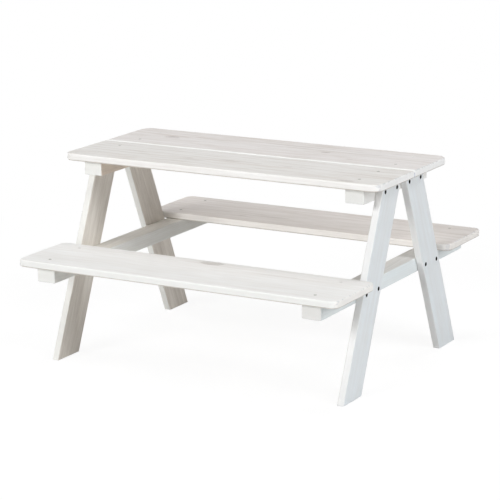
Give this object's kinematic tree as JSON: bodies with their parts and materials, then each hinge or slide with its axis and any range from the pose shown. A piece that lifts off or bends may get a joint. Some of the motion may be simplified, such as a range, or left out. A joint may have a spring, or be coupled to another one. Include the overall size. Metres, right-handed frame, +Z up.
{
  "type": "kids picnic table",
  "caption": "Low picnic table for children: a two-board top and a plank seat along each side, carried on battens by splayed board legs.",
  "frame": {"origin": "on the floor, at the middle of the table", "axes": "+X along the table, +Y across it from the front seat to the rear seat, +Z up"},
  "size_m": [0.87, 0.8118, 0.5],
  "materials": {
    "tabletop": "white glaze, satin",
    "seat": "white glaze, satin",
    "leg": "white glaze, satin",
    "bearer": "white glaze, satin",
    "bolt": "black",
    "nut": "zinc plated",
    "screw": "zinc plated"
  },
  "bodies": {
    "root": {"tabletop_front_board": "tabletop", "tabletop_rear_board": "tabletop", "front_seat_board": "seat", "rear_seat_board": "seat", "left_front_leg": "leg", "left_rear_leg": "leg", "right_front_leg": "leg", "right_rear_leg": "leg", "left_table_bearer": "bearer", "left_seat_bearer": "bearer", "right_table_bearer": "bearer", "right_seat_bearer": "bearer", "left_front_table_bolt_inner": "bolt", "left_front_table_nut_inner": "nut", "left_front_table_bolt_outer": "bolt", "left_front_table_nut_outer": "nut", "left_front_seat_bolt_inner": "bolt", "left_front_seat_nut_inner": "nut", "left_front_seat_bolt_outer": "bolt", "left_front_seat_nut_outer": "nut", "left_rear_table_bolt_inner": "bolt", "left_rear_table_nut_inner": "nut", "left_rear_table_bolt_outer": "bolt", "left_rear_table_nut_outer": "nut", "left_rear_seat_bolt_inner": "bolt", "left_rear_seat_nut_inner": "nut", "left_rear_seat_bolt_outer": "bolt", "left_rear_seat_nut_outer": "nut", "right_front_table_bolt_inner": "bolt", "right_front_table_nut_inner": "nut", "right_front_table_bolt_outer": "bolt", "right_front_table_nut_outer": "nut", "right_front_seat_bolt_inner": "bolt", "right_front_seat_nut_inner": "nut", "right_front_seat_bolt_outer": "bolt", "right_front_seat_nut_outer": "nut", "right_rear_table_bolt_inner": "bolt", "right_rear_table_nut_inner": "nut", "right_rear_table_bolt_outer": "bolt", "right_rear_table_nut_outer": "nut", "right_rear_seat_bolt_inner": "bolt", "right_rear_seat_nut_inner": "nut", "right_rear_seat_bolt_outer": "bolt", "right_rear_seat_nut_outer": "nut", "tabletop_front_screw_left_inner": "screw", "tabletop_front_screw_left_outer": "screw", "tabletop_front_screw_right_inner": "screw", "tabletop_front_screw_right_outer": "screw", "tabletop_rear_screw_left_inner": "screw", "tabletop_rear_screw_left_outer": "screw", "tabletop_rear_screw_right_inner": "screw", "tabletop_rear_screw_right_outer": "screw", "front_seat_screw_left_inner": "screw", "front_seat_screw_left_outer": "screw", "front_seat_screw_right_inner": "screw", "front_seat_screw_right_outer": "screw", "rear_seat_screw_left_inner": "screw", "rear_seat_screw_left_outer": "screw", "rear_seat_screw_right_inner": "screw", "rear_seat_screw_right_outer": "screw"}
  },
  "joints": []
}
